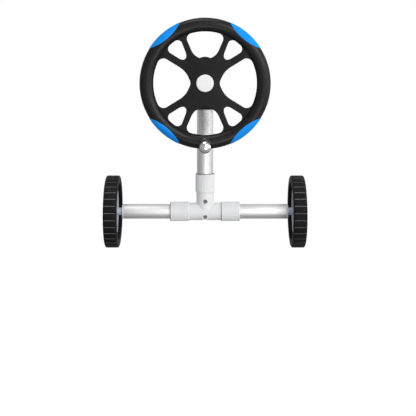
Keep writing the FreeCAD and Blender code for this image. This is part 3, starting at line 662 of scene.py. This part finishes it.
def box_part(x0, x1, y0, y1, z0, z1, turn):
    """Box between two corners, turned about Z."""
    corners = [(x, y, z) for x in (x0, x1) for y in (y0, y1) for z in (z0, z1)]
    cos, sin = math.cos(turn), math.sin(turn)
    verts = [(x * cos - y * sin, x * sin + y * cos, z) for x, y, z in corners]
    faces = [(0, 1, 3, 2), (4, 6, 7, 5), (0, 4, 5, 1), (2, 3, 7, 6), (0, 2, 6, 4), (1, 5, 7, 3)]
    return verts, faces


def painted_highlight_strips():
    """Light grey strips in the grooves between the lugs, nearly up to the tread: painted highlight of the lugs'
    edges.
    """
    low, high = TYRE_R - LUG_DEPTH - 0.5, TYRE_R - PAINTED_HIGHLIGHT_DROP
    side = LUG_GAP / 3
    end = TYRE_HALF - 3.0
    turns = [math.pi / 2 + TURN / LUGS * (lug - 0.5) for lug in range(LUGS)]
    return [box_part(low, high, -side, side, -end, end, turn) for turn in turns]


def wheel_disc_parts():
    """Dished disc with a raised ring, stiffening ribs, a spacer at -Z and a boss at +Z."""
    face = [(-2.0, 21.0), (-2.0, 38.0), (-3.4, 40.0), (-3.4, 44.0), (-2.0, 46.0), (-2.0, 70.0)]
    face += [(-4.5, 74.0), (-8.2, 75.2), (-8.5, 76.0), (-8.5, 80.0)]
    mirrored = [(-along, radius) for along, radius in reversed(face)]
    spacer = [(-24.0, 8.6), (-24.0, 10.4), (-9.5, 10.5), (-8.0, 15.5), (-3.4, 18.6)]
    boss = [(3.4, 18.6), (13.8, 17.0), (15.0, 15.4), (15.0, 8.6)]
    parts = [lathe(rounded(spacer + face + mirrored + boss, 0.8), 128)]
    for rib in range(DISC_RIBS):
        turn = TURN * rib / DISC_RIBS
        for side in (-1, 1):
            inner, outer = sorted((side * 1.5, side * 8.0))
            parts.append(box_part(15.0, 74.5, -1.5, 1.5, inner, outer, turn))
    return parts


def build_wheels():
    """Both wheels, each with its disc's spacer towards the stand."""
    for side, hub, outward in (("left", LEFT_HUB, "-x"), ("right", RIGHT_HUB, "x")):
        tyre = carved(side + "_tyre", "x", hub, [tyre_part()])
        soften(tyre, 0.0004)
        # Light grey strips in the grooves: painted highlight of the lugs' edges
        strips = finished(side + "_painted_groove_highlight", mesh_of(painted_highlight_strips(), to_world(hub, "x")), "painted_groove_highlight")
        place(strips, BODY_OF[side + "_tyre"], [], "tyre_black")
        disc = carved(side + "_wheel_disc", outward, hub, wheel_disc_parts())
        soften(disc, 0.0005)


# ---------------------------------------------------------------- stands and reel

def along_box(node, axis):
    """Centre of a node's near face and its length and radius along an axis, in millimetres."""
    low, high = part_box(node)
    centre = (low + high) / 2
    index = "xyz".index(axis)
    start = centre.copy()
    start[index] = low[index]
    across = (index + 1) % 3
    return start, (high[index] - low[index]) / MM, (high[across] - low[across]) / 2 / MM


def build_tube(node, axis):
    start, length, radius = along_box(node, axis)
    profile = [(0.0, radius - TUBE_WALL), (0.0, radius), (length, radius), (length, radius - TUBE_WALL)]
    turned(node, axis, start, profile, "tube_" + axis, corner=0.4, segments=128)


def build_collar(node, axis, tube_r):
    """Collar nut: ribbed barrel between two plain rolled ends."""
    start, length, outer = along_box(node, axis)
    profile = [(0.0, tube_r), (0.0, outer - 1.6), (1.8, outer - 0.2), (4.4, outer - 0.2), (5.2, outer - 1.0)]
    profile += [(length - 5.2, outer - 1.0), (length - 4.4, outer - 0.2), (length - 1.8, outer - 0.2)]
    profile += [(length, outer - 1.6), (length, tube_r)]
    parts = [lathe(rounded(profile, 0.6), 128)]
    for rib in range(COLLAR_RIBS):
        turn = TURN * rib / COLLAR_RIBS
        parts.append(box_part(outer - 2.0, outer - 0.35, -1.5, 1.5, 4.0, length - 4.0, turn))
    piece = carved(node, axis, start, parts)
    soften(piece, 0.0004)


def build_painted_shade_ring(node, axis, tube_r, at_end):
    """Thin dark ring at one end of a collar, in the gap round its tube: painted shade where the gap falls in
    shadow.
    """
    start, length, outer = along_box(node, axis)
    ring = [(-0.6, tube_r + 0.1), (-0.6, outer - 1.4), (0.5, outer - 1.2), (0.5, tube_r + 0.1)]
    if at_end:
        ring = [(length - along, radius) for along, radius in ring]
    painted_shade_ring = lathe(rounded(ring, 0.2), 96)
    trim(node + "_seal", BODY_OF[node], axis, start, painted_shade_ring, "housing_black", SLOT_OF[node])


def keep_cad(node, material=None):
    """A CAD node that is shown as it is, in its finished material."""
    piece = frame["nodes"][node]
    piece.data.materials.clear()
    piece.data.materials.append(MATERIALS[material or SLOT_OF[node]])


def build_stands():
    for prefix in ("near_", "far_"):
        build_tube(prefix + "upright", "z")
        for side in ("left", "right"):
            build_tube(prefix + side + "_crossbar", "x")
            build_collar(prefix + side + "_collar", "x", CROSSBAR_R)
            # Dark ring at each crossbar collar's -X end: painted shade in the gap
            build_painted_shade_ring(prefix + side + "_collar", "x", CROSSBAR_R, False)
        build_collar(prefix + "top_collar", "z", UPRIGHT_R)
        # Dark ring at the top collar's upper end: painted shade in the gap
        build_painted_shade_ring(prefix + "top_collar", "z", UPRIGHT_R, True)
        for name in ("housing", "outer_bush", "reel_bush", "tee"):
            keep_cad(prefix + name)
        for name in ("housing_screws", "tee_screws"):
            keep_cad(prefix + name, "screw_steel")
    for side in ("left_", "right_"):
        for name in ("plug", "axle_bolt", "washer"):
            keep_cad("near_" + side + name)
        keep_cad(side + "wheel_bush")
        keep_cad("far_" + side + "foot")
    keep_cad("far_end_cap")


def build_reel():
    build_tube("outer_tube", "y")
    build_tube("inner_tube", "y")
    for name in ("hub_bolt", "drive_shaft", "knob_spindle", "knob_nut"):
        keep_cad(name)
    for name in ("drive_plug", "tube_collar", "far_journal", "far_plug"):
        keep_cad(name)


# ---------------------------------------------------------------- studio

def area_light(name, location, target, size, power):
    data = bpy.data.lights.new(name, "AREA")
    data.shape = "RECTANGLE"
    data.size, data.size_y = size
    data.energy = power
    light = bpy.data.objects.new(name, data)
    light.location = location
    light.rotation_euler = (Vector(target) - Vector(location)).to_track_quat("-Z", "Y").to_euler()
    bpy.context.scene.collection.objects.link(light)


def build_world():
    """White to the eye; what the pieces reflect is a soft studio, brighter before and above them."""
    world = bpy.data.worlds.new("studio")
    world.use_nodes = True
    bpy.context.scene.world = world
    tree = world.node_tree
    shown = tree.nodes["Background"]
    shown.inputs["Color"].default_value = (1, 1, 1, 1)
    shown.inputs["Strength"].default_value = 1.0
    place = tree.nodes.new("ShaderNodeTexCoord")
    split = tree.nodes.new("ShaderNodeSeparateXYZ")
    tree.links.new(place.outputs["Generated"], split.inputs["Vector"])
    ramp = tree.nodes.new("ShaderNodeValToRGB")
    for position, grey in ROOM_GREYS[1:-1]:
        ramp.color_ramp.elements.new(position)
    for stop, (position, grey) in zip(ramp.color_ramp.elements, ROOM_GREYS):
        stop.color = (grey, grey, grey, 1)
    height = tree.nodes.new("ShaderNodeMapRange")
    height.inputs["From Min"].default_value = -1.0
    tree.links.new(split.outputs["Z"], height.inputs["Value"])
    tree.links.new(height.outputs["Result"], ramp.inputs["Fac"])
    room = tree.nodes.new("ShaderNodeBackground")
    tree.links.new(ramp.outputs["Color"], room.inputs["Color"])
    side = tree.nodes.new("ShaderNodeMapRange")
    side.inputs["From Min"].default_value = -1.0
    side.inputs["From Max"].default_value = 0.3
    side.inputs["To Min"].default_value = ROOM_STRENGTH * DIM_SIDE
    side.inputs["To Max"].default_value = ROOM_STRENGTH
    tree.links.new(split.outputs["X"], side.inputs["Value"])
    tree.links.new(side.outputs["Result"], room.inputs["Strength"])
    path = tree.nodes.new("ShaderNodeLightPath")
    mix = tree.nodes.new("ShaderNodeMixShader")
    tree.links.new(path.outputs["Is Camera Ray"], mix.inputs["Fac"])
    tree.links.new(room.outputs["Background"], mix.inputs[1])
    tree.links.new(shown.outputs["Background"], mix.inputs[2])
    tree.links.new(mix.outputs["Shader"], tree.nodes["World Output"].inputs["Surface"])


def build_studio():
    build_world()
    near = Vector((0, AXLE.y, 0.3))
    area_light("key", near + Vector((1.3, -2.6, 1.3)), near, (2.0, 1.4), 38)
    area_light("right", near + Vector((2.6, -1.2, 0.4)), near, (1.8, 1.8), 14)
    area_light("low", near + Vector((0.6, -2.6, -0.8)), near, (1.8, 0.8), 14)
    area_light("top", near + Vector((-0.3, -0.9, 2.8)), near, (1.6, 1.2), 24)
    middle = Vector((0, 0.6, 0.3))
    area_light("far_key", middle + Vector((2.8, 0.8, 2.6)), middle, (2.4, 3.2), 45)
    area_light("far_fill", middle + Vector((-2.8, 1.0, 1.8)), middle, (1.6, 3.0), 30)


def build_camera():
    data = bpy.data.cameras.new("camera")
    data.lens = CAMERA_LENS
    data.sensor_width = 36.0
    data.shift_x, data.shift_y = CAMERA_SHIFT
    data.dof.use_dof = False
    data.clip_end = 200.0
    camera = bpy.data.objects.new("camera", data)
    camera.location = (AXLE.x, WEB_FRONT - CAMERA_DISTANCE, CAMERA_HEIGHT)
    camera.rotation_euler = (math.radians(90), 0, 0)
    bpy.context.scene.collection.objects.link(camera)
    bpy.context.scene.camera = camera


# The Standard view keeps the photo's plain white background white
bpy.context.scene.view_settings.view_transform = "Standard"
build_camera()
build_studio()
build_handwheel()
build_grips()
build_badge()
build_knob_sleeve()
build_knob_cap()
build_wheels()
build_stands()
build_reel()
